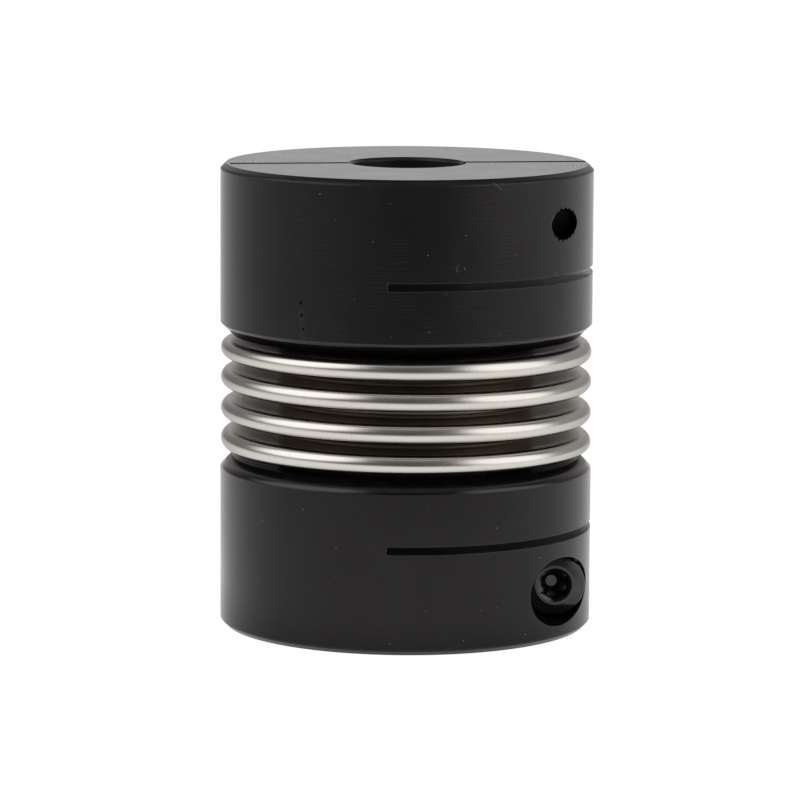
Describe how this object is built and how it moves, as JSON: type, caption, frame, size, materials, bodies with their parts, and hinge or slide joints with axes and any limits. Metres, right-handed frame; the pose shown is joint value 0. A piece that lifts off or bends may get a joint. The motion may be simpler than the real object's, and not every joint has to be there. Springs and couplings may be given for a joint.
{
  "type": "bellows shaft coupling",
  "caption": "Zero-backlash shaft coupling: black anodised aluminium clamp hubs with saw slits and socket head screws, joined by a flexible stainless steel bellows.",
  "frame": {"origin": "centre of the lower hub's end face, on the coupling's axis", "axes": "+Z along the coupling's axis towards the upper hub; +X towards the clamp screws and the open side of the slits; the lower screw's head faces -Y and the upper screw's head faces +Y"},
  "size_m": [0.0333, 0.0332, 0.0415],
  "materials": {
    "anodised_aluminium": "black anodised, fine turned",
    "stainless_steel": "bright formed stainless",
    "blackened_steel": "black oxide"
  },
  "bodies": {
    "lower_end": {"lower_hub": "anodised_aluminium", "lower_clamp_screw": "blackened_steel", "bellows": "stainless_steel"},
    "upper_end": {"upper_hub": "anodised_aluminium", "upper_clamp_screw": "blackened_steel"}
  },
  "joints": [
    {"name": "angular_misalignment", "type": "hinge", "parent": "lower_end", "child": "upper_end", "pos_m": [0, 0, 0.02075], "axis": [0, 1, 0], "range_deg": [-1.5, 1.5], "stiffness_Nm_per_rad": 1, "deforming": ["bellows"]}
  ]
}
